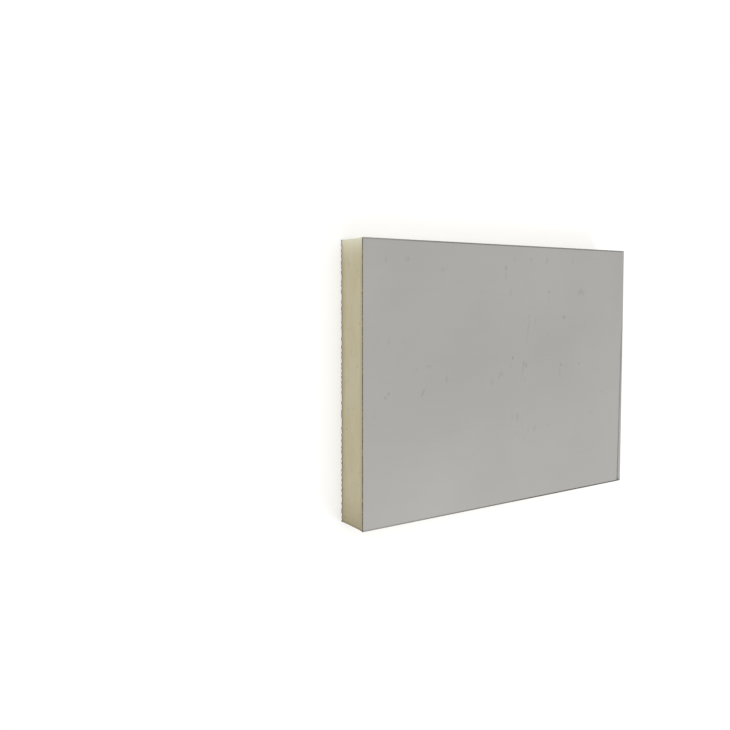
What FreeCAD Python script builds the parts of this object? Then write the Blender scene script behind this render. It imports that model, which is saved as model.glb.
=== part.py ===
"""Foam-cored insulation board: a rigid polyurethane core between two bonded metal facings.

The board lies flat on its embossed facing. X runs along its length, Y across its width and Z up
through its thickness. The origin is at the middle of the face that it lies on. Sizes are in millimetres.
"""

import FreeCAD
import Part
import os

# Outline that the board is cut to
BOARD_LENGTH = 200.0
BOARD_WIDTH = 150.0

# Core: a board is named by the thickness of its foam
FOAM_THICKNESS = 20.0

# Facings: a smooth colour-coated steel sheet on top, embossed aluminium underneath
SMOOTH_SHEET_GAUGE = 0.5
EMBOSSED_SHEET_HEIGHT = 0.8  # from the back of the sheet to the crests of its embossing

# The cut pulls the smooth sheet's upper rim down into a small round, which its gauge limits
CUT_ROLL_RADIUS = 0.2
CUT_ROLL_GAUGE_LIMIT = 0.8

# Levels of the three layers, from the floor up
CORE_BOTTOM = EMBOSSED_SHEET_HEIGHT
CORE_TOP = CORE_BOTTOM + FOAM_THICKNESS
BOARD_TOP = CORE_TOP + SMOOTH_SHEET_GAUGE

OUTPUT_FOLDER = "parts"


def layer(bottom, top):
    """A slab with the board's full outline between two levels: the sandwich is cut to size in one pass."""
    corner = FreeCAD.Vector(-BOARD_LENGTH / 2, -BOARD_WIDTH / 2, bottom)
    return Part.makeBox(BOARD_LENGTH, BOARD_WIDTH, top - bottom, corner)


def rim_edges(slab, level):
    """The edges of a slab that lie at one level from end to end."""
    tolerance = Part.Precision.confusion()
    return [
        edge
        for edge in slab.Edges
        if all(abs(vertex.Z - level) < tolerance for vertex in edge.Vertexes)
    ]


def make_embossed_facing():
    """Aluminium sheet that the board lies on, at its height over the embossing."""
    return layer(0.0, CORE_BOTTOM)


def make_foam_core():
    """Rigid polyurethane foam, bonded to the backs of both facings."""
    return layer(CORE_BOTTOM, CORE_TOP)


def make_smooth_facing():
    """Coated steel sheet, with its upper rim rolled down by the cut."""
    sheet = layer(CORE_TOP, BOARD_TOP)
    roll = min(CUT_ROLL_RADIUS, CUT_ROLL_GAUGE_LIMIT * SMOOTH_SHEET_GAUGE)
    return sheet.makeFillet(roll, rim_edges(sheet, BOARD_TOP))


def main():
    pieces = {
        "embossed_facing": make_embossed_facing(),
        "foam_core": make_foam_core(),
        "smooth_facing": make_smooth_facing(),
    }
    os.makedirs(OUTPUT_FOLDER, exist_ok=True)
    for name, shape in pieces.items():
        shape.exportStep(os.path.join(OUTPUT_FOLDER, name + ".step"))
        print(f"{name}: {shape.Volume:.1f} mm3, valid {shape.isValid()}, {len(shape.Faces)} faces")


main()
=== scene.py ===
# %% [markdown]
# # A foam-cored insulation board
#
# The board is a sandwich of three bonded layers: a colour-coated steel sheet on top, a core of rigid
# polyurethane foam, and an embossed aluminium sheet underneath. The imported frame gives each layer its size
# and place. This lesson gives each layer the surface that the paint line, the saw and the embossing roller
# leave on a real one. Every piece is made in metres, where the frame says that it is.

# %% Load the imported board
import math

import bmesh
import bpy
import numpy as np
from mathutils import Matrix, Vector, kdtree, noise


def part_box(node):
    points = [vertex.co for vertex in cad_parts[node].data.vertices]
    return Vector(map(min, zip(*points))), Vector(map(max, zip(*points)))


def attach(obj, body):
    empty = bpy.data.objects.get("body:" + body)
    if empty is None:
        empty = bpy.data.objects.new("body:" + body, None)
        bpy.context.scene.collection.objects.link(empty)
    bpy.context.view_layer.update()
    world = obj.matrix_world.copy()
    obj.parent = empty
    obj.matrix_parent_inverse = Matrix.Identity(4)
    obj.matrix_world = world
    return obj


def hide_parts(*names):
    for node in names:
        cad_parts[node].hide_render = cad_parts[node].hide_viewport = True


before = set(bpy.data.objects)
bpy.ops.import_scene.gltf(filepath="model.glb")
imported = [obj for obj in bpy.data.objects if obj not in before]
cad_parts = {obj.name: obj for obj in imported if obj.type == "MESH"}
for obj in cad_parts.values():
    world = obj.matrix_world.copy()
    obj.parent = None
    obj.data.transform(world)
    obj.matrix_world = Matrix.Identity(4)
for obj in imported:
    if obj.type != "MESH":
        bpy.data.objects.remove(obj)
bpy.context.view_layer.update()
MM = 0.001
sheet_low, sheet_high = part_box("smooth_facing")
foam_low, foam_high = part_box("foam_core")
foil_low, foil_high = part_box("embossed_facing")
# The board is centred on the origin, so half its length and half its width give the whole outline.
outline = Vector((sheet_high.x, sheet_high.y))
print("layers:", sorted(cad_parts))

# %% [markdown]
# ## The camera
#
# The board lies flat, so a camera that saw it standing now looks down on it, with the top of the picture
# towards +Y. A camera can be turned by angles, but they are hard to read. Here it is given its own place, a
# point on the board to aim at, and the direction that is up in the picture. A small shift then slides the
# board to its place in the picture without turning the camera.

# %% Place the camera
CAMERA_PLACE = Vector((-294.2, 43.9, 330.1)) * MM
CAMERA_AIM = Vector((-98.6, 25.8, 21.3)) * MM
PICTURE_UP = Vector((0, 1, 0))
PICTURE_PIXELS = 730
FOCAL_PIXELS = 725.5
SHIFT_PIXELS = -29.9
SENSOR_MM = 36

look = (CAMERA_AIM - CAMERA_PLACE).normalized()
right = look.cross(PICTURE_UP).normalized()
turn = Matrix((right, right.cross(look), -look)).transposed()
camera = bpy.data.objects.new("camera", bpy.data.cameras.new("camera"))
camera.data.sensor_width = SENSOR_MM
camera.data.lens = SENSOR_MM * FOCAL_PIXELS / PICTURE_PIXELS
camera.data.shift_y = SHIFT_PIXELS / PICTURE_PIXELS
camera.matrix_world = Matrix.Translation(CAMERA_PLACE) @ turn.to_4x4()
bpy.context.scene.collection.objects.link(camera)
bpy.context.scene.camera = camera
print("camera lens, mm:", round(camera.data.lens, 1))

# %% [markdown]
# ## The smooth sheet: its shape
#
# The visible face is half a millimetre of steel that was painted as a coil and cut with the board. A scaled
# cube would give the box, but not the cut: the blade pulls the rim down, scrapes a narrow band of paint, and
# leaves the face very slightly wavy. So the face starts as a grid, and its open rim is extruded again and
# again along a small profile: across the scraped band, round the rolled rim and down the cut wall.

# %% Lay the face's grid
FACE_CELL = 2.0 * MM
CUT_ROLL, SCRAPED_BAND, FRAYED_BAND = 0.2 * MM, 0.5 * MM, 0.15 * MM


def inside(distance):
    """Half size of a rectangle that lies this far inside the outline."""
    return outline - Vector((distance, distance))


def add_grid(bm, reach, segments, level):
    """Adds a level grid with a half size and a number of cells each way."""
    bmesh.ops.create_grid(bm, x_segments=segments[0], y_segments=segments[1], size=1)
    bmesh.ops.scale(bm, verts=bm.verts, vec=(reach.x, reach.y, 1))
    bmesh.ops.translate(bm, verts=bm.verts, vec=(0, 0, level))


sheet = bmesh.new()
wear = sheet.verts.layers.float.new("rim_wear_and_crease_shade")
reach = inside(CUT_ROLL + SCRAPED_BAND + FRAYED_BAND)
add_grid(sheet, reach, [round(2 * side / FACE_CELL) for side in reach], sheet_high.z)
print("cells of the face:", len(sheet.faces))

# %% Draw the rim's profile
ROLL_STEPS = 3

# Each step of the profile is how far it lies inside the outline and below the face.
rim_profile = [(CUT_ROLL + SCRAPED_BAND, 0.0), (CUT_ROLL, 0.0)]
for step in range(1, ROLL_STEPS + 1):
    angle = math.pi / 2 * step / ROLL_STEPS
    rim_profile.append((CUT_ROLL * (1 - math.sin(angle)), CUT_ROLL * (1 - math.cos(angle))))
rim_profile.append((0.0, sheet_high.z - sheet_low.z))
print("steps of the rim's profile:", len(rim_profile))

# %% Say how far the cut has scraped each side
# Wear at places along each side in mm: 0 is whole paint, and 1 or more is bare steel.
LEFT_WEAR = ((0, 0.05),)
TOP_WEAR = ((-100, 0.3), (-50, 0.6))
BOTTOM_WEAR = ((-100, 0.35), (0, 0.75), (50, 1.3), (100, 1.2))
RIGHT_WEAR = ((-75, 0.25), (-15, 0.2), (10, 0.4), (25, 0.4), (40, 0.1))


def read_table(table, run):
    """Reads a table of amounts by place in mm, at a place in metres along its line."""
    places, amounts = zip(*table)
    return float(np.interp(run / MM, places, amounts))


def wear_at(place):
    """How far the cut has scraped the rim at a place, by the side that is nearest."""
    sides = (
        (outline.x + place.x, place.y, LEFT_WEAR),
        (outline.x - place.x, place.y, RIGHT_WEAR),
        (outline.y - place.y, place.x, TOP_WEAR),
        (outline.y + place.y, place.x, BOTTOM_WEAR),
    )
    _, run, table = min(sides)
    return read_table(table, run)


side_tables = (LEFT_WEAR, TOP_WEAR, BOTTOM_WEAR, RIGHT_WEAR)
print("wear at the middle of each side:", [round(read_table(table, 0.0), 2) for table in side_tables])

# %% Roll and cut the sheet's rim
def extrude_rim(bm, rim, reach, new_reach):
    """Extrudes an open rectangular rim from one half size to another. Returns its new verts and edges."""
    made = bmesh.ops.extrude_edge_only(bm, edges=rim)["geom"]
    verts = [part for part in made if isinstance(part, bmesh.types.BMVert)]
    edges = [part for part in made if isinstance(part, bmesh.types.BMEdge)]
    fresh = set(verts)
    bmesh.ops.scale(bm, verts=verts, vec=(new_reach.x / reach.x, new_reach.y / reach.y, 1))
    return verts, [edge for edge in edges if fresh.issuperset(edge.verts)]


rim = [edge for edge in sheet.edges if edge.is_boundary]
for inset, drop in rim_profile:
    new_reach = inside(inset)
    rim_verts, rim = extrude_rim(sheet, rim, reach, new_reach)
    for vert in rim_verts:
        vert.co.z = sheet_high.z - drop
        vert[wear] = wear_at(vert.co)
    reach = new_reach
bmesh.ops.edgeloop_fill(sheet, edges=rim)
print("sheet faces:", len(sheet.faces))

# %% [markdown]
# ## The smooth sheet: its knocks
#
# A handled sheet is never quite flat. The face sags a few hundredths of a millimetre between its rims, and
# the lower right corner has been knocked, so that a crease runs from the right edge to the lower one. A bump
# texture could hint at the crease, but it needs a shape to catch the light from every side, and edges of its
# own to stay crisp. So the mesh is first cut by upright planes along it. Its fold is also painted darker, as
# painted shade in the crease.

# %% Cut the mesh along the crease
CREASE_START = Vector((99.0, 33.0, 0)) * MM
CREASE_END = Vector((97.0, -75.0, 0)) * MM
CREASE_HALF_WIDTH = 1.0 * MM
CUT_TOLERANCE = 0.001 * MM

crease_run = (CREASE_START - CREASE_END).normalized()
crease_out = Vector((crease_run.y, -crease_run.x, 0))
for offset in (-CREASE_HALF_WIDTH, 0.0, CREASE_HALF_WIDTH):
    bmesh.ops.bisect_plane(
        sheet,
        geom=sheet.verts[:] + sheet.edges[:] + sheet.faces[:],
        dist=CUT_TOLERANCE,
        plane_co=CREASE_END + crease_out * offset,
        plane_no=crease_out,
    )
print("sheet faces with the crease:", len(sheet.faces))

# %% Crease and sag the sheet
CREASE_DEPTH, CREASE_TILT = 0.12 * MM, 0.06
# This table gives painted shade: at places along y in mm, how far the crease is darkened to the bare steel
# colour.
CREASE_SHADE = ((-75, 0.8), (-50, 0.6), (8, 0.55), (33, 0.0))
SAG_DEPTH, SAG_LENGTH, SAG_FADE = 0.06 * MM, 45 * MM, 18 * MM


def noise_share(place):
    """Smooth noise at a place, as a share from 0 to 1."""
    return 0.5 + 0.5 * noise.noise(place)


def on_crease(place):
    """How far past the crease a place lies, and a share from 1 on it to 0 at its sides."""
    past = (place - CREASE_END).dot(crease_out)
    return past, max(0.0, 1 - abs(past) / CREASE_HALF_WIDTH)


def sheet_drop(place):
    """How far the sheet lies below its flat level at a place, from its sag and its creased corner."""
    rim_distance = min(outline.x - abs(place.x), outline.y - abs(place.y))
    fade = min(rim_distance / SAG_FADE, 1.0)
    sag = SAG_DEPTH * fade * noise_share(Vector((place.x, place.y, 0)) / SAG_LENGTH)
    past, share = on_crease(place)
    return sag + CREASE_DEPTH * share + CREASE_TILT * max(0.0, past)


sheet_middle = (sheet_low.z + sheet_high.z) / 2
# Along the crease the rim attribute also takes painted shade, which darkens the fold like the scraped rim.
drops = {vert: sheet_drop(vert.co) for vert in sheet.verts if vert.co.z > sheet_middle}
for vert, drop in drops.items():
    _, share = on_crease(vert.co)
    vert[wear] = max(vert[wear], share * read_table(CREASE_SHADE, vert.co.y))
    vert.co.z -= drop
bmesh.ops.recalc_face_normals(sheet, faces=sheet.faces)
print("deepest point of the sheet's face, mm:", round(max(drops.values()) / MM, 2))

# %% Make an object of a finished mesh
SHARP_ANGLE = math.radians(40)


def finish_piece(name, bm):
    """Turns a bmesh into a smooth-shaded object at the origin, sharp where its faces meet steeply."""
    mesh = bpy.data.meshes.new(name)
    bm.to_mesh(mesh)
    bm.free()
    mesh.shade_smooth()
    mesh.set_sharp_from_angle(angle=SHARP_ANGLE)
    piece = bpy.data.objects.new(name, mesh)
    bpy.context.scene.collection.objects.link(piece)
    mesh.calc_loop_triangles()
    print(name, "triangles:", len(mesh.loop_triangles))
    return piece


FACE_SLOT, CUT_SLOT = 0, 1
# A face of the sheet whose normal rises less than this belongs to the cut.
STEEP_ROLL = 0.8
for face in sheet.faces:
    face.material_index = CUT_SLOT if abs(face.normal.z) < STEEP_ROLL else FACE_SLOT
sheet_piece = finish_piece("coated_steel_sheet", sheet)

# %% [markdown]
# ## The embossed sheet: its pattern
#
# The underside is thin aluminium that a roller has pressed with short raised worms, lying every way, about
# two and a half millimetres apart. They could be drawn one by one as curves, but there are thousands, and
# they have to keep clear of each other. Stripes that form by themselves do that: noise is filtered to one
# spacing, pushed towards raised or flat, and filtered again. Leaning the push to flat breaks the stripes
# into worms.

# %% Grow the worm pattern
WORM_PITCH = 2.4 * MM
PITCH_SPREAD = 0.6
WORM_ROUNDS = 5
WORM_PUSH = 1.5
WORM_LEAN = 0.3
PATTERN_CELL = 0.25 * MM
SEED = 11

columns = round(2 * outline.x / PATTERN_CELL)
rows = round(2 * outline.y / PATTERN_CELL)
across = np.fft.fftfreq(columns, PATTERN_CELL)[None, :]
along = np.fft.fftfreq(rows, PATTERN_CELL)[:, None]
cycles_per_pitch = np.hypot(across, along) * WORM_PITCH
one_spacing = np.exp(-(((cycles_per_pitch - 1) / PITCH_SPREAD) ** 2))
pattern = np.random.default_rng(SEED).standard_normal((rows, columns))
for _ in range(WORM_ROUNDS):
    pattern = np.fft.ifft2(np.fft.fft2(pattern) * one_spacing).real
    pattern = np.tanh(WORM_PUSH * pattern / pattern.std() - WORM_LEAN)
print("raised share:", round(float((pattern > 0).mean()), 2))

# %% Read a height from the pattern
# The real sheet is about 0.1 mm thick. It is drawn thicker, so that its cut edge shows in the picture.
FOIL_GAUGE = 0.3 * MM
EMBOSSING = foil_high.z - foil_low.z - FOIL_GAUGE
GROUND_LEVEL, CREST_LEVEL = -0.75, 0.85


def outer_level(x, y):
    """Level of the sheet's outer side at some places: at the bottom on a crest, and higher on the ground."""
    column = (np.asarray(x) + outline.x) / PATTERN_CELL
    row = (np.asarray(y) + outline.y) / PATTERN_CELL
    left = np.floor(column).astype(int)
    near = np.floor(row).astype(int)
    share_x = column - left
    share_y = row - near
    left, near = left % columns, near % rows
    next_left, next_near = (left + 1) % columns, (near + 1) % rows
    near_height = pattern[near, left] * (1 - share_x) + pattern[near, next_left] * share_x
    next_height = pattern[next_near, left] * (1 - share_x) + pattern[next_near, next_left] * share_x
    height = near_height * (1 - share_y) + next_height * share_y
    raised = np.clip((height - GROUND_LEVEL) / (CREST_LEVEL - GROUND_LEVEL), 0, 1)
    # This cubic starts and ends level, so each flank runs smoothly into the ground and the crest.
    rounded = raised * raised * (3 - 2 * raised)
    return foil_low.z + EMBOSSING * (1 - rounded)


print("height of the embossing, mm:", round(EMBOSSING / MM, 2))

# %% [markdown]
# ## The embossed sheet: its shape
#
# A displacement modifier could press a grid from a texture, but the pattern is already an array, so its
# heights go straight to the vertices. A grid fine enough for the worms has far too many triangles, and most
# of them lie on flat ground. Decimating it keeps the triangles where the surface bends. The thin cut edge is
# then extruded up from the rim, and turned in under the foam.

# %% Press the sheet
FOIL_CELL = 0.33 * MM

pressed = bmesh.new()
add_grid(pressed, outline, [round(2 * side / FOIL_CELL) for side in outline], 0.0)
bmesh.ops.triangulate(pressed, faces=pressed.faces)
pressed_mesh = bpy.data.meshes.new("pressed_grid")
pressed.to_mesh(pressed_mesh)
pressed.free()
places = np.empty(3 * len(pressed_mesh.vertices), dtype=np.float32)
pressed_mesh.vertices.foreach_get("co", places)
places = places.reshape(-1, 3)
places[:, 2] = outer_level(places[:, 0], places[:, 1])
pressed_mesh.vertices.foreach_set("co", places.ravel())
full_triangles = len(pressed_mesh.polygons)
print("pressed triangles:", full_triangles)

# %% Thin the pressed mesh
FOIL_TRIANGLES = 185000

pressed_grid = bpy.data.objects.new("pressed_grid", pressed_mesh)
bpy.context.scene.collection.objects.link(pressed_grid)
thinning = pressed_grid.modifiers.new("thinning", "DECIMATE")
thinning.ratio = FOIL_TRIANGLES / full_triangles
depsgraph = bpy.context.evaluated_depsgraph_get()
thinned_mesh = bpy.data.meshes.new_from_object(pressed_grid.evaluated_get(depsgraph))
foil = bmesh.new()
foil.from_mesh(thinned_mesh)
bpy.data.objects.remove(pressed_grid)
bpy.data.meshes.remove(pressed_mesh)
bpy.data.meshes.remove(thinned_mesh)
print("thinned triangles:", len(foil.faces))

# %% Give the sheet its cut edge
FOIL_LIP, FOIL_BACK = 0.25 * MM, 0.55 * MM
# A face whose normal points down by more than this is part of the outer side.
DOWNWARD = 0.1

# Thinning can move a point a little, so levels and rim are brought back to the sheet's box.
for vert in foil.verts:
    vert.co.z = min(max(vert.co.z, foil_low.z), foil_low.z + EMBOSSING)
rim = [edge for edge in foil.edges if edge.is_boundary]
for vert in {vert for edge in rim for vert in edge.verts}:
    on_end = outline.x - abs(vert.co.x) < outline.y - abs(vert.co.y)
    axis = 0 if on_end else 1
    vert.co[axis] = math.copysign(outline[axis], vert.co[axis])
rim_verts, rim = extrude_rim(foil, rim, outline, outline)
for vert in rim_verts:
    vert.co.z += FOIL_GAUGE
rim_verts, rim = extrude_rim(foil, rim, outline, inside(FOIL_LIP))
for vert in rim_verts:
    vert.co.z = float(outer_level(vert.co.x, vert.co.y)) + FOIL_GAUGE
rim_verts, rim = extrude_rim(foil, rim, inside(FOIL_LIP), inside(FOIL_BACK))
for vert in rim_verts:
    vert.co.z = foil_high.z
bmesh.ops.edgeloop_fill(foil, edges=rim)
bmesh.ops.recalc_face_normals(foil, faces=foil.faces)
foil.normal_update()
for face in foil.faces:
    face.material_index = FACE_SLOT if face.normal.z < -DOWNWARD else CUT_SLOT
foil_piece = finish_piece("embossed_aluminium_sheet", foil)

# %% [markdown]
# ## The foam core: its cut sides
#
# Only the core's four cut sides can be seen. Sawn rigid foam is a wall of fine broken cells, with the blade's
# strokes across it, a few blow holes, and crumbs missing where it meets the sheets and at the corners. Bump
# alone would leave the outline too clean, so the sides are a fine grid and each point is moved inwards. The
# grid starts as a wire rectangle, which is divided evenly, extruded upwards and divided again.

# %% Raise the foam's sides
FOAM_CELL = 0.4 * MM
LENGTH_TOLERANCE = 1e-4

core = bmesh.new()
add_grid(core, outline, (1, 1), foam_low.z)
bmesh.ops.delete(core, geom=core.faces[:], context="FACES_ONLY")
for length in (2 * outline.x, 2 * outline.y):
    tolerance = LENGTH_TOLERANCE * length
    sides = [edge for edge in core.edges if abs(edge.calc_length() - length) < tolerance]
    bmesh.ops.subdivide_edges(core, edges=sides, cuts=round(length / FOAM_CELL) - 1)
extruded = bmesh.ops.extrude_edge_only(core, edges=core.edges[:])["geom"]
upper = [part for part in extruded if isinstance(part, bmesh.types.BMVert)]
foam_height = foam_high.z - foam_low.z
bmesh.ops.translate(core, verts=upper, vec=(0, 0, foam_height))
uprights = [edge for edge in core.edges if abs(edge.verts[0].co.z - edge.verts[1].co.z) > foam_height / 2]
bmesh.ops.subdivide_edges(core, edges=uprights, cuts=round(foam_height / FOAM_CELL) - 1)
bmesh.ops.recalc_face_normals(core, faces=core.faces)
print("foam side faces:", len(core.faces))

# %% Saw the sides
FOAM_RECESS, HOLLOW = 0.05 * MM, 0.12 * MM
GRAIN_SIZE, GRAIN_DEPTH = 0.9 * MM, 0.05 * MM
STROKE_SPACING, STROKE_DEPTH, STROKE_SLANT, STROKE_DRIFT = 1.6 * MM, 0.05 * MM, 0.15, 0.3
CRUMB_BAND, CRUMB_SIZE, CRUMB_DEPTH = 0.7 * MM, 1.5 * MM, 0.15 * MM
CORNER_BAND, CORNER_DEPTH = 1.2 * MM, 0.18 * MM


def sawn_depth(place):
    """How far a point of the cut side lies inside the outline."""
    up = (place.z - foam_low.z) / foam_height
    depth = FOAM_RECESS + HOLLOW * math.sin(math.pi * up)
    depth += GRAIN_DEPTH * noise_share(place / GRAIN_SIZE)
    run = (place.x + place.y + STROKE_SLANT * place.z) / STROKE_SPACING
    depth += STROKE_DEPTH * noise_share(Vector((run, STROKE_DRIFT * up, 0)))
    to_sheet = min(place.z - foam_low.z, foam_high.z - place.z)
    crumbling = max(0.0, noise.noise(place / CRUMB_SIZE))
    depth += CRUMB_DEPTH * crumbling * max(0.0, 1 - to_sheet / CRUMB_BAND)
    to_corner = max(outline.x - abs(place.x), outline.y - abs(place.y))
    depth += CORNER_DEPTH * max(0.0, 1 - to_corner / CORNER_BAND) * noise_share(place / CRUMB_SIZE)
    return depth


depths = {vert: sawn_depth(vert.co) for vert in core.verts}
print("mean depth of the sawing, mm:", round(sum(depths.values()) / len(depths) / MM, 2))

# %% Open the blow holes
HOLES, HOLE_MARGIN = 150, 1.3 * MM
SMALLEST_HOLE, LARGEST_HOLE = 0.35 * MM, 1.1 * MM
HOLE_DEPTH_SHARE = 0.55
# Raising an even draw to this power makes most of the holes small.
SMALL_HOLE_POWER = 3


def grid_place(vert):
    """Column, row and level of a point of the sides, counted in cells from the foam's low corner."""
    return [round(cells) for cells in (vert.co - foam_low) / FOAM_CELL]


# The operators can leave the points in another order on each run, so they are sorted before holes are drawn.
points = sorted(core.verts, key=grid_place)
finder = kdtree.KDTree(len(points))
for index, vert in enumerate(points):
    finder.insert(vert.co, index)
finder.balance()
# A hole keeps clear of the sheets. The margin lies between two rows of points.
lowest, highest = foam_low.z + HOLE_MARGIN, foam_high.z - HOLE_MARGIN
inner = [index for index, vert in enumerate(points) if lowest < vert.co.z < highest]
draw = np.random.default_rng(SEED)
for middle in draw.choice(inner, HOLES, replace=False):
    radius = SMALLEST_HOLE + (LARGEST_HOLE - SMALLEST_HOLE) * draw.random() ** SMALL_HOLE_POWER
    for _, index, distance in finder.find_range(points[middle].co, radius):
        share = math.sqrt(max(0.0, 1 - (distance / radius) ** 2))
        depths[points[index]] += HOLE_DEPTH_SHARE * radius * share
for vert, depth in depths.items():
    vert.co -= depth * vert.normal
print("deepest point of the foam, mm:", round(max(depths.values()) / MM, 2))

# %% Close the core
CORE_BACK = 0.6 * MM

rims = [edge for edge in core.edges if edge.is_boundary]
upper_rim = [edge for edge in rims if edge.verts[0].co.z > foam_low.z + foam_height / 2]
lower_rim = [edge for edge in rims if edge.verts[0].co.z < foam_low.z + foam_height / 2]
# The foam fills the back of the worms, so its lower rim follows them.
for vert in {vert for edge in lower_rim for vert in edge.verts}:
    vert.co.z = float(outer_level(vert.co.x, vert.co.y)) + FOIL_GAUGE
bmesh.ops.edgeloop_fill(core, edges=upper_rim)
rim_verts, rim = extrude_rim(core, lower_rim, outline, inside(CORE_BACK))
for vert in rim_verts:
    vert.co.z = foam_low.z
bmesh.ops.edgeloop_fill(core, edges=rim)
bmesh.ops.recalc_face_normals(core, faces=core.faces)
core_piece = finish_piece("cut_foam_core", core)

# %% [markdown]
# ## Tools for the finishes
#
# Every finish is a small tree of nodes. One function adds a node: it sets the node's own properties, then its
# inputs, and an input can be a value or another node's output. Colours are written as the screen shows them,
# in hex, and turned to the linear values that the renderer works in.

# %% Add nodes and read colours
# A Mix node has sockets of the same name for each kind of data. These are the numbers of its colour sockets.
MIX_A, MIX_B, MIXED = 6, 7, 2


def add_node(tree, kind, inputs=None, **settings):
    """Adds a shader node with its settings and inputs, which are values or sockets to link from."""
    made = tree.nodes.new("ShaderNode" + kind)
    for name, value in settings.items():
        setattr(made, name, value)
    for name, value in (inputs or {}).items():
        if isinstance(value, bpy.types.NodeSocket):
            tree.links.new(value, made.inputs[name])
        else:
            made.inputs[name].default_value = value
    return made


def colour(code):
    """Linear colour, with alpha, from an sRGB hex code."""
    channels = [int(code[start:start + 2], 16) / 255 for start in (1, 3, 5)]
    linear = [c / 12.92 if c <= 0.04045 else ((c + 0.055) / 1.055) ** 2.4 for c in channels]
    return (*linear, 1.0)


def new_material(name):
    """A material with an empty node tree, and that tree."""
    material = bpy.data.materials.new(name)
    material.use_nodes = True
    material.node_tree.nodes.clear()
    return material, material.node_tree


print("#808080 as a linear level:", round(colour("#808080")[0], 3))

# %% [markdown]
# ## Finish: polyester coil coating
#
# The sheet was painted flat, on a roller line, and baked. That gives the eye an even, satin, slightly warm
# light grey, with a faint roller texture along the coil. Handling has left short dull scuffs, most of them
# upright, and the cut has scraped the rim to dark bare steel. The scuffs could be painted on a picture, but
# they are few and each has its place, so each is a small soft spot of its own, stretched and turned by a
# Mapping node. Noise frays them all.

# %% Mix the coil coating
PAINT, PAINT_SHADE = "#AFADA9", "#A9A7A3"
TONE_SIZE, TONE_LOW, TONE_HIGH = 70 * MM, 0.4, 0.75
ROLLER_SIZE, ROLLER_SHARE = 1.5 * MM, 0.15
# The roller's texture is drawn out along the coil, which ran along X.
COIL_SCALE = (0.04, 1, 1)

paint, tree = new_material("polyester_coil_coating")
place = add_node(tree, "TexCoord").outputs["Object"]
tone = add_node(tree, "TexNoise", {"Vector": place, "Scale": 1 / TONE_SIZE, "Detail": 3})
coil = add_node(tree, "Mapping", {"Vector": place, "Scale": COIL_SCALE})
roller = add_node(tree, "TexNoise", {"Vector": coil.outputs[0], "Scale": 1 / ROLLER_SIZE, "Detail": 2})
mottle = add_node(
    tree,
    "Math",
    {0: roller.outputs["Fac"], 1: ROLLER_SHARE, 2: tone.outputs["Fac"]},
    operation="MULTIPLY_ADD",
)
shade = add_node(tree, "MapRange", {"Value": mottle.outputs[0], "From Min": TONE_LOW, "From Max": TONE_HIGH})
coat = add_node(
    tree,
    "Mix",
    {"Factor": shade.outputs[0], MIX_A: colour(PAINT_SHADE), MIX_B: colour(PAINT)},
    data_type="RGBA",
)
print("paint tones:", PAINT_SHADE, "to", PAINT)

# %% List the scuffs
# Each scuff has the x and y of its middle, its length along y and its width along x, all in mm.
# Then come its lean in degrees and its weight.
SCUFFS = [
    (-3, 62, 4, 1.9, 0, 0.9), (-3, 57, 8, 1.3, 0, 0.6), (1, 48, 6, 2.2, 0, 0.6), (32, 48, 2.6, 2.8, 0, 0.8),
    (32, 43, 5, 1.6, 0, 0.3), (60, 48, 6, 10, 0, 0.6), (15, 26, 23, 1.3, -8, 0.6), (16, 34, 2.5, 2.4, 0, 0.5),
    (45, 33, 3, 3.5, 0, 0.8), (41, 33, 2, 2, 0, 0.3), (3, 10, 3, 2.2, 0, 0.9), (1, 5, 5, 2.2, 0, 0.4),
    (12, 6, 4, 2.4, 0, 0.9), (14, 5, 4, 2.2, 0, 0.7), (11, 2, 7, 2.6, 0, 0.5), (10, -2, 4, 2, 0, 0.4),
    (13, -3, 4, 2, 0, 0.4), (-6, 1, 5, 5, 0, 0.35), (-8, -1, 4, 2, 0, 0.4), (-13, -3, 7, 2.8, 0, 0.45),
    (43, 4, 2.5, 2.5, 0, 0.7), (42, 0, 6, 2.5, 0, 0.4), (59, 4, 2.2, 2.2, 0, 0.6), (-58, 8, 2, 5, 0, 0.5),
    (-46, 0, 7, 1.8, 0, 0.5), (-62, -6, 6, 2.2, -25, 0.8), (-84, -5, 2.6, 2.6, 0, 0.8),
    (-86, -7, 4, 3, 0, 0.5), (-84, 22, 6, 1.8, -10, 0.5), (-75, 22, 4, 1.8, 0, 0.3),
    (7, -24, 4, 2.2, 0, 0.85), (7, -26, 5, 3, 0, 0.4), (3, -24, 7, 2, 0, 0.35), (70, -27, 1.8, 3, 0, 0.5),
    (81, -15, 1.8, 3, 0, 0.5), (16, -34, 2, 2, 0, 0.6), (21, -33, 6, 1.9, -20, 0.6), (32, -32, 2, 2, 0, 0.5),
    (7, -34, 2, 2.6, 0, 0.5), (13, -38, 4, 2, 0, 0.4), (-86, 64, 5, 2, 0, 0.5), (-72, 65, 4, 5, 0, 0.4),
    (-49, 60, 3.5, 4, 0, 0.3), (4, 67, 4, 2, 0, 0.6), (17, 67, 3, 3, 0, 0.6), (30, 67, 5, 2.6, 0, 0.65),
    (52, 67, 3, 2.6, 0, 0.45), (-85, 1, 0.9, 14, 0, 0.3), (98, -74, 4, 6, 0, 1.4),
]
print("scuffs:", len(SCUFFS))

# %% Fray and add up the scuffs
FRAY_SIZE, FRAY_REACH = 1.2 * MM, 0.9 * MM
SCUFF_HEIGHT = 1.0 * MM
# A noise texture varies about this level.
NOISE_MIDDLE = 0.5

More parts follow.
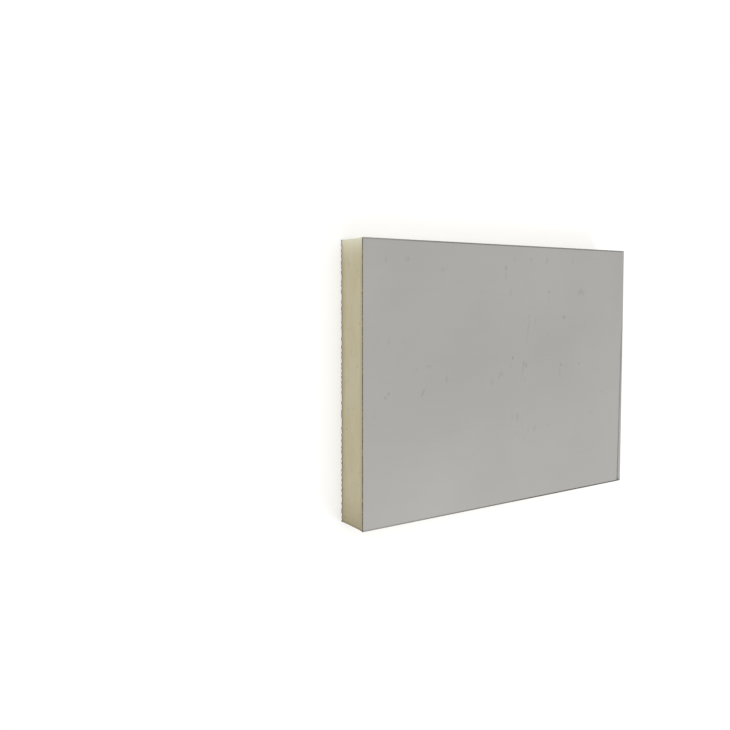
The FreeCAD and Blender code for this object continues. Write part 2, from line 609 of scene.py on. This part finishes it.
fray = add_node(tree, "TexNoise", {"Vector": place, "Scale": 1 / FRAY_SIZE, "Detail": 2})
both_ways = add_node(
    tree,
    "VectorMath",
    {0: fray.outputs["Color"], 1: (NOISE_MIDDLE, NOISE_MIDDLE, NOISE_MIDDLE)},
    operation="SUBTRACT",
)
frayed = add_node(
    tree,
    "VectorMath",
    {0: both_ways.outputs[0], 1: (FRAY_REACH, FRAY_REACH, 0), 2: place},
    operation="MULTIPLY_ADD",
)
scuffed = 0.0
for x, y, length, width, lean, weight in SCUFFS:
    spot = add_node(
        tree,
        "Mapping",
        {
            "Vector": frayed.outputs[0],
            "Location": (x * MM, y * MM, sheet_high.z),
            "Rotation": (0, 0, math.radians(lean)),
            "Scale": (width * MM / 2, length * MM / 2, SCUFF_HEIGHT),
        },
        vector_type="TEXTURE",
    )
    soft = add_node(tree, "TexGradient", {"Vector": spot.outputs[0]}, gradient_type="SPHERICAL")
    total = add_node(tree, "Math", {0: soft.outputs["Fac"], 1: weight, 2: scuffed}, operation="MULTIPLY_ADD")
    scuffed = total.outputs[0]
print("nodes of the coating with its scuffs:", len(tree.nodes))

# %% Break the scuffs into streaks and sprinkle some flecks
STREAK_WIDTH, STREAK_LENGTH = 0.8 * MM, 3.0 * MM
STREAK_LOW, STREAK_HIGH = 0.35, 0.65
FAINTEST_STREAK, STRONGEST_STREAK = 0.25, 1.6
FLECK_SPACING, FLECK_RADIUS, FLECK_WEIGHT = 11 * MM, 0.09, 0.35
# The flecks are drawn out along Y.
FLECK_SCALE = (1, 0.4, 0)

upright = add_node(tree, "Mapping", {"Vector": place, "Scale": (1 / STREAK_WIDTH, 1 / STREAK_LENGTH, 0)})
streaks = add_node(tree, "TexNoise", {"Vector": upright.outputs[0], "Scale": 1, "Detail": 2})
broken = add_node(
    tree,
    "MapRange",
    {
        "Value": streaks.outputs["Fac"],
        "From Min": STREAK_LOW,
        "From Max": STREAK_HIGH,
        "To Min": FAINTEST_STREAK,
        "To Max": STRONGEST_STREAK,
    },
)
streaked = add_node(tree, "Math", {0: scuffed, 1: broken.outputs[0]}, operation="MULTIPLY")
tall = add_node(tree, "Mapping", {"Vector": frayed.outputs[0], "Scale": FLECK_SCALE})
flecks = add_node(tree, "TexVoronoi", {"Vector": tall.outputs[0], "Scale": 1 / FLECK_SPACING})
fleck = add_node(
    tree,
    "MapRange",
    {"Value": flecks.outputs["Distance"], "From Min": FLECK_RADIUS, "From Max": 0, "To Max": FLECK_WEIGHT},
)
chance = add_node(tree, "SeparateColor", {"Color": flecks.outputs["Color"]})
marks = add_node(
    tree,
    "Math",
    {0: fleck.outputs[0], 1: chance.outputs["Red"], 2: streaked.outputs[0]},
    operation="MULTIPLY_ADD",
)
print("spacing of the flecks, mm:", round(FLECK_SPACING / MM))

# %% Scrape the rim and finish the coating
# The dark steel colour is the scraped rim's bare steel, and also the crease's painted shade.
SCUFF_GREY, BARE_STEEL_AND_CREASE_SHADE = "#6A6864", "#4C4A46"
SCUFF_STRENGTH = 0.42
PEEL_SIZE, PEEL_DEPTH, PEEL_STRENGTH = 0.8 * MM, 0.1 * MM, 0.06
PAINT_IOR, PAINT_ROUGHNESS, SCUFF_ROUGHNESS = 1.5, 0.34, 0.7

grit = add_node(tree, "TexNoise", {"Vector": place, "Scale": 1 / PEEL_SIZE, "Detail": 3})
# The rim attribute holds the scraped rim's wear and, along the crease, painted shade; both mix to dark steel.
wear_and_crease_shade = add_node(tree, "Attribute", attribute_name="rim_wear_and_crease_shade")
ragged = add_node(tree, "Math", {0: grit.outputs["Fac"], 1: NOISE_MIDDLE}, operation="ADD")
scraped = add_node(
    tree, "Math", {0: wear_and_crease_shade.outputs["Fac"], 1: ragged.outputs[0]}, operation="MULTIPLY", use_clamp=True
)
dulled = add_node(
    tree, "Math", {0: marks.outputs[0], 1: SCUFF_STRENGTH}, operation="MULTIPLY", use_clamp=True
)
marked = add_node(
    tree,
    "Mix",
    {"Factor": dulled.outputs[0], MIX_A: coat.outputs[MIXED], MIX_B: colour(SCUFF_GREY)},
    data_type="RGBA",
)
cut_back = add_node(
    tree,
    "Mix",
    {"Factor": scraped.outputs[0], MIX_A: marked.outputs[MIXED], MIX_B: colour(BARE_STEEL_AND_CREASE_SHADE)},
    data_type="RGBA",
)
rubbed = add_node(tree, "Math", {0: marks.outputs[0], 1: scraped.outputs[0]}, operation="MAXIMUM")
gloss = add_node(
    tree,
    "MapRange",
    {"Value": rubbed.outputs[0], "To Min": PAINT_ROUGHNESS, "To Max": SCUFF_ROUGHNESS},
)
peel = add_node(
    tree, "Bump", {"Height": grit.outputs["Fac"], "Strength": PEEL_STRENGTH, "Distance": PEEL_DEPTH}
)
skin = add_node(
    tree,
    "BsdfPrincipled",
    {
        "Base Color": cut_back.outputs[MIXED],
        "Roughness": gloss.outputs[0],
        "IOR": PAINT_IOR,
        "Normal": peel.outputs[0],
    },
)
add_node(tree, "OutputMaterial", {"Surface": skin.outputs[0]})
sheet_piece.data.materials.append(paint)
print(paint.name, "nodes:", len(tree.nodes))

# %% [markdown]
# ## Finish: sawn sheet edges
#
# The walls of both sheets are bare metal that the blade has dragged along and smeared with foam dust. The eye
# sees a thin, nearly black line, broken into dashes where paler dust hides the metal. The line's metal
# colours, and the aluminium's dust, are darker than the real ones, as painted shade of the joints beside
# them. The back of the aluminium sheet, next to the foam, is as dusty. Steel and aluminium differ only in
# their colours, so one function makes both.

# %% Mix the sawn edges
# Both smear colours and the aluminium's dust are darkened as painted shade of the joints between the layers.
STEEL_SMEAR_AND_SHADE, STEEL_DUST = "#17110A", "#A0936F"
ALUMINIUM_SMEAR_AND_SHADE, ALUMINIUM_DUST_AND_SHADE = "#3A362C", "#54482F"
DRAG_SIZE, DUST_LOW, DUST_HIGH = 0.8 * MM, 0.53, 0.62
BURR_DEPTH, BURR_STRENGTH = 0.05 * MM, 0.3
EDGE_METALLIC, EDGE_ROUGHNESS, EDGE_SPECULAR = 0.5, 0.6, 0.15


def sawn_edge(name, metal, dust):
    """Material of a sheet's cut wall, from a metal colour darkened with painted shade and a colour of the
    dust on it.
    """
    material, tree = new_material(name)
    place = add_node(tree, "TexCoord").outputs["Object"]
    drag = add_node(tree, "TexNoise", {"Vector": place, "Scale": 1 / DRAG_SIZE, "Detail": 3})
    dusty = add_node(
        tree, "MapRange", {"Value": drag.outputs["Fac"], "From Min": DUST_LOW, "From Max": DUST_HIGH}
    )
    smeared = add_node(
        tree,
        "Mix",
        {"Factor": dusty.outputs[0], MIX_A: colour(metal), MIX_B: colour(dust)},
        data_type="RGBA",
    )
    burr = add_node(
        tree, "Bump", {"Height": drag.outputs["Fac"], "Strength": BURR_STRENGTH, "Distance": BURR_DEPTH}
    )
    skin = add_node(
        tree,
        "BsdfPrincipled",
        {
            "Base Color": smeared.outputs[MIXED],
            "Metallic": EDGE_METALLIC,
            "Roughness": EDGE_ROUGHNESS,
            "Specular IOR Level": EDGE_SPECULAR,
            "Normal": burr.outputs[0],
        },
    )
    add_node(tree, "OutputMaterial", {"Surface": skin.outputs[0]})
    print(name, "nodes:", len(tree.nodes))
    return material


sheet_piece.data.materials.append(sawn_edge("sawn_steel_edge_and_shade", STEEL_SMEAR_AND_SHADE, STEEL_DUST))

# %% [markdown]
# ## Finish: cut polyurethane foam
#
# Rigid foam is blown between the two sheets, so its cells are packed and slightly browner where they met the
# metal, and paler in the middle. That band is drawn darker still, as painted shade next to the sheets. Cut
# cells are open cups a quarter of a millimetre across, which scatter light and leave the surface quite matt.
# They are drawn a little larger than life here, so that the picture can show them. Faint clouds along the
# board are where the rising foam knitted together. Near the left side's corners light and shade are painted:
# a painted highlight at the +Y end, painted shade towards the -Y end and a painted contact shadow at its very
# corner. A photograph of real foam could give all this, but it would repeat and show its seams, so noise in
# millimetres does it.

# %% Mix the foam
# The skin colour and its band stand for packed foam, and also for painted shade next to the sheets.
FOAM_PALE, FOAM_CREAM, FOAM_SKIN_AND_SHADE = "#D9D0B2", "#D4CAAA", "#C4B894"
CLOUD_SIZE, CLOUD_LOW, CLOUD_HIGH = 9 * MM, 0.35, 0.65
# The clouds are drawn out along the board and pressed flat through it.
CLOUD_SCALE = (0.5, 0.5, 1.6)
SKIN_AND_SHADE_BAND, SKIN_AND_SHADE_SHARE = 3.5 * MM, 0.75

foam, tree = new_material("cut_polyurethane_foam")
place = add_node(tree, "TexCoord").outputs["Object"]
axes = add_node(tree, "SeparateXYZ", {"Vector": place})
knit = add_node(tree, "Mapping", {"Vector": place, "Scale": CLOUD_SCALE})
clouds = add_node(tree, "TexNoise", {"Vector": knit.outputs[0], "Scale": 1 / CLOUD_SIZE, "Detail": 4})
cloud_share = add_node(
    tree, "MapRange", {"Value": clouds.outputs["Fac"], "From Min": CLOUD_LOW, "From Max": CLOUD_HIGH}
)
body = add_node(
    tree,
    "Mix",
    {"Factor": cloud_share.outputs[0], MIX_A: colour(FOAM_CREAM), MIX_B: colour(FOAM_PALE)},
    data_type="RGBA",
)
from_middle = add_node(
    tree, "Math", {0: axes.outputs["Z"], 1: (foam_low.z + foam_high.z) / 2}, operation="SUBTRACT"
)
off_middle = add_node(tree, "Math", {0: from_middle.outputs[0]}, operation="ABSOLUTE")
packed = add_node(
    tree,
    "MapRange",
    {
        "Value": off_middle.outputs[0],
        "From Min": foam_height / 2 - SKIN_AND_SHADE_BAND,
        "From Max": foam_height / 2,
        "To Max": SKIN_AND_SHADE_SHARE,
    },
    interpolation_type="SMOOTHSTEP",
)
banded = add_node(
    tree,
    "Mix",
    {"Factor": packed.outputs[0], MIX_A: body.outputs[MIXED], MIX_B: colour(FOAM_SKIN_AND_SHADE)},
    data_type="RGBA",
)
print("packed foam at each sheet, mm:", round(SKIN_AND_SHADE_BAND / MM, 1))

# %% Paint light and shade on the foam's corners
# The first tint is a painted highlight at the +Y end of the left side, the second is painted shade towards
# its -Y end, and the third is a painted contact shadow at the -Y corner.
FOAM_PAINTED_HIGHLIGHT, HIGHLIGHT_REACH, HIGHLIGHT_POWER = "#F8F4DA", 18 * MM, 3.0
FOAM_PAINTED_SHADE, SHADE_REACH, SHADE_POWER = "#B8AE90", 18 * MM, 1.5
FOAM_CONTACT_SHADOW, CONTACT_SHADOW_REACH, CONTACT_SHADOW_POWER = "#857B5F", 1.5 * MM, 1.0
# The tints reach this many times less far round the corner than along the left side.
CORNER_PULL = 3

from_left = add_node(
    tree,
    "Math",
    {0: axes.outputs["X"], 1: CORNER_PULL, 2: CORNER_PULL * outline.x},
    operation="MULTIPLY_ADD",
)
from_top = add_node(tree, "Math", {0: outline.y, 1: axes.outputs["Y"]}, operation="SUBTRACT")
from_bottom = add_node(tree, "Math", {0: axes.outputs["Y"], 1: outline.y}, operation="ADD")
corner_light_and_shade = (
    (from_top, FOAM_PAINTED_HIGHLIGHT, HIGHLIGHT_REACH, HIGHLIGHT_POWER),
    (from_bottom, FOAM_PAINTED_SHADE, SHADE_REACH, SHADE_POWER),
    (from_bottom, FOAM_CONTACT_SHADOW, CONTACT_SHADOW_REACH, CONTACT_SHADOW_POWER),
)
tinted = banded
for from_end, tint, tint_reach, power in corner_light_and_shade:
    from_corner = add_node(
        tree, "Math", {0: from_end.outputs[0], 1: from_left.outputs[0]}, operation="MAXIMUM"
    )
    near = add_node(
        tree, "MapRange", {"Value": from_corner.outputs[0], "From Min": tint_reach, "From Max": 0.0}
    )
    share = add_node(tree, "Math", {0: near.outputs[0], 1: power}, operation="POWER")
    tinted = add_node(
        tree,
        "Mix",
        {"Factor": share.outputs[0], MIX_A: tinted.outputs[MIXED], MIX_B: colour(tint)},
        data_type="RGBA",
    )
print("corner tints:", len(corner_light_and_shade))

# %% Speckle the foam and finish it
FOAM_PIT = "#AC9F7B"
SPECK_SIZE, SPECK_LOW, SPECK_HIGH, SPECK_SHARE = 2.2 * MM, 0.62, 0.78, 0.6
CELL_SIZE, CELL_DEPTH, CELL_STRENGTH = 0.4 * MM, 0.15 * MM, 0.5
FOAM_ROUGHNESS, FOAM_SPECULAR = 0.92, 0.25

specks = add_node(tree, "TexNoise", {"Vector": place, "Scale": 1 / SPECK_SIZE, "Detail": 4})
pitted = add_node(
    tree,
    "MapRange",
    {
        "Value": specks.outputs["Fac"],
        "From Min": SPECK_LOW,
        "From Max": SPECK_HIGH,
        "To Max": SPECK_SHARE,
    },
)
speckled = add_node(
    tree,
    "Mix",
    {"Factor": pitted.outputs[0], MIX_A: tinted.outputs[MIXED], MIX_B: colour(FOAM_PIT)},
    data_type="RGBA",
)
cells = add_node(tree, "TexVoronoi", {"Vector": place, "Scale": 1 / CELL_SIZE}, feature="F1")
cups = add_node(
    tree, "Bump", {"Height": cells.outputs["Distance"], "Strength": CELL_STRENGTH, "Distance": CELL_DEPTH}
)
skin = add_node(
    tree,
    "BsdfPrincipled",
    {
        "Base Color": speckled.outputs[MIXED],
        "Roughness": FOAM_ROUGHNESS,
        "Specular IOR Level": FOAM_SPECULAR,
        "Normal": cups.outputs[0],
    },
)
add_node(tree, "OutputMaterial", {"Surface": skin.outputs[0]})
core_piece.data.materials.append(foam)
print(foam.name, "nodes:", len(tree.nodes))

# %% [markdown]
# ## Finish: embossed mill aluminium
#
# Thin rolled aluminium keeps a fine grain along the rolling direction and a bright, slightly warm gloss. The
# embossing does the rest: each worm catches the light on one flank and goes dark on the other. A bump texture
# would lose that at the cut edge, so the worms are in the mesh, and the material adds only the grain. The
# crests are what the board lies on, so they are rubbed dull.

# %% Mix the aluminium
ALUMINIUM, RUBBED_ALUMINIUM = "#E2E0DB", "#C9C7C2"
MILL_ROUGHNESS, RUBBED_ROUGHNESS = 0.24, 0.42
RUBBED_HEIGHT = 0.12 * MM
ROLLING_SIZE, ROLLING_DEPTH, ROLLING_STRENGTH = 0.25 * MM, 0.05 * MM, 0.08
# The grain is drawn out along the rolling direction, X.
ROLLING_SCALE = (0.03, 1, 1)

aluminium, tree = new_material("embossed_mill_aluminium")
place = add_node(tree, "TexCoord").outputs["Object"]
axes = add_node(tree, "SeparateXYZ", {"Vector": place})
rolled = add_node(tree, "Mapping", {"Vector": place, "Scale": ROLLING_SCALE})
grain = add_node(tree, "TexNoise", {"Vector": rolled.outputs[0], "Scale": 1 / ROLLING_SIZE, "Detail": 2})
crest = add_node(
    tree,
    "MapRange",
    {"Value": axes.outputs["Z"], "From Min": foil_low.z + RUBBED_HEIGHT, "From Max": foil_low.z},
)
metal_colour = add_node(
    tree,
    "Mix",
    {"Factor": crest.outputs[0], MIX_A: colour(ALUMINIUM), MIX_B: colour(RUBBED_ALUMINIUM)},
    data_type="RGBA",
)
sheen = add_node(
    tree, "MapRange", {"Value": crest.outputs[0], "To Min": MILL_ROUGHNESS, "To Max": RUBBED_ROUGHNESS}
)
grain_bump = add_node(
    tree, "Bump", {"Height": grain.outputs["Fac"], "Strength": ROLLING_STRENGTH, "Distance": ROLLING_DEPTH}
)
skin = add_node(
    tree,
    "BsdfPrincipled",
    {
        "Base Color": metal_colour.outputs[MIXED],
        "Metallic": 1.0,
        "Roughness": sheen.outputs[0],
        "Normal": grain_bump.outputs[0],
    },
)
add_node(tree, "OutputMaterial", {"Surface": skin.outputs[0]})
print(aluminium.name, "nodes:", len(tree.nodes))
foil_piece.data.materials.append(aluminium)
foil_piece.data.materials.append(sawn_edge("sawn_aluminium_edge_and_shade", ALUMINIUM_SMEAR_AND_SHADE, ALUMINIUM_DUST_AND_SHADE))

# %% [markdown]
# ## The floor and the white background
#
# The picture's background is white. More light would bleach the board, so the floor glows a little towards
# the camera and mirrors only, on top of a plain pale surface that still takes the board's shadow. Further out
# it fades to pure white, so that its edge doesn't show.

# %% Lay the floor
FLOOR_RADIUS, FLOOR_SEGMENTS = 0.6, 96
FLOOR_PALE = "#E8E8E8"
FLOOR_GLOW = 0.35
FADE_START, FADE_END = 0.2, 0.5


def seen_directly(tree):
    """Adds nodes that give 1 to the camera, to mirrors and to glass, and 0 to the light that bounces."""
    ray = add_node(tree, "LightPath").outputs
    seen = add_node(tree, "Math", {0: ray["Is Camera Ray"], 1: ray["Is Glossy Ray"]}, operation="ADD")
    through = {0: seen.outputs[0], 1: ray["Is Transmission Ray"]}
    return add_node(tree, "Math", through, operation="ADD", use_clamp=True).outputs[0]


floor_mesh = bmesh.new()
bmesh.ops.create_circle(floor_mesh, cap_ends=True, segments=FLOOR_SEGMENTS, radius=FLOOR_RADIUS)
floor = finish_piece("floor", floor_mesh)
pale, tree = new_material("pale_floor")
seen = seen_directly(tree)
glow = add_node(tree, "Math", {0: seen, 1: FLOOR_GLOW}, operation="MULTIPLY")
surface = add_node(tree, "BsdfDiffuse", {"Color": colour(FLOOR_PALE)})
light = add_node(tree, "Emission", {"Strength": glow.outputs[0]})
both = add_node(tree, "AddShader", {0: surface.outputs[0], 1: light.outputs[0]})
place = add_node(tree, "TexCoord").outputs["Object"]
distance = add_node(tree, "VectorMath", {0: place}, operation="LENGTH")
fade = add_node(
    tree,
    "MapRange",
    {"Value": distance.outputs["Value"], "From Min": FADE_START, "From Max": FADE_END},
    interpolation_type="SMOOTHSTEP",
)
faded = add_node(tree, "Math", {0: fade.outputs[0], 1: seen}, operation="MULTIPLY")
white = add_node(tree, "Emission")
blend = add_node(tree, "MixShader", {"Fac": faded.outputs[0], 1: both.outputs[0], 2: white.outputs[0]})
add_node(tree, "OutputMaterial", {"Surface": blend.outputs[0]})
floor.data.materials.append(pale)

# %% [markdown]
# ## The light
#
# The photograph has the even light of a white tent. A white world gives most of it. Three softboxes add
# direction: a key on the right, a large one overhead, and one on the left for the cut side. Together they
# light a level face so that its colour renders as it is written.

# %% Light the board
WORLD_LEVEL = 0.58
SOFTBOXES = {
    "key": {"place": (0.25, -0.3, 0.5), "size": 0.3, "watts": 0.6},
    "overhead": {"place": (-0.1, 0.2, 1.1), "size": 0.8, "watts": 2.85},
    "side": {"place": (-0.65, 0.4, 0.3), "size": 0.4, "watts": 0.62},
}

world = bpy.data.worlds.new("white_tent")
bpy.context.scene.world = world
world.use_nodes = True
tree = world.node_tree
tree.nodes.clear()
level = add_node(tree, "MapRange", {"Value": seen_directly(tree), "To Min": WORLD_LEVEL, "To Max": 1.0})
tent = add_node(tree, "Background", {"Color": (1, 1, 1, 1), "Strength": level.outputs[0]})
add_node(tree, "OutputWorld", {"Surface": tent.outputs[0]})
for name, box in SOFTBOXES.items():
    lamp = bpy.data.lights.new(name, "AREA")
    lamp.size = box["size"]
    lamp.energy = box["watts"]
    softbox = bpy.data.objects.new(name, lamp)
    softbox.location = box["place"]
    softbox.rotation_euler = Vector(box["place"]).to_track_quat("Z", "Y").to_euler()
    bpy.context.scene.collection.objects.link(softbox)
bpy.context.scene.view_settings.view_transform = "Standard"
print("softboxes, W:", {name: box["watts"] for name, box in SOFTBOXES.items()})

# %% [markdown]
# ## Hand over
#
# Each piece moves with the board, and the layer of the frame that it was shaped on is hidden in its place.

# %% Tie the pieces to the frame
for piece, node, finish in (
    (sheet_piece, "smooth_facing", "coated_steel"),
    (core_piece, "foam_core", "polyurethane_foam"),
    (foil_piece, "embossed_facing", "embossed_aluminium"),
):
    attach(piece, "root")
    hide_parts(node)
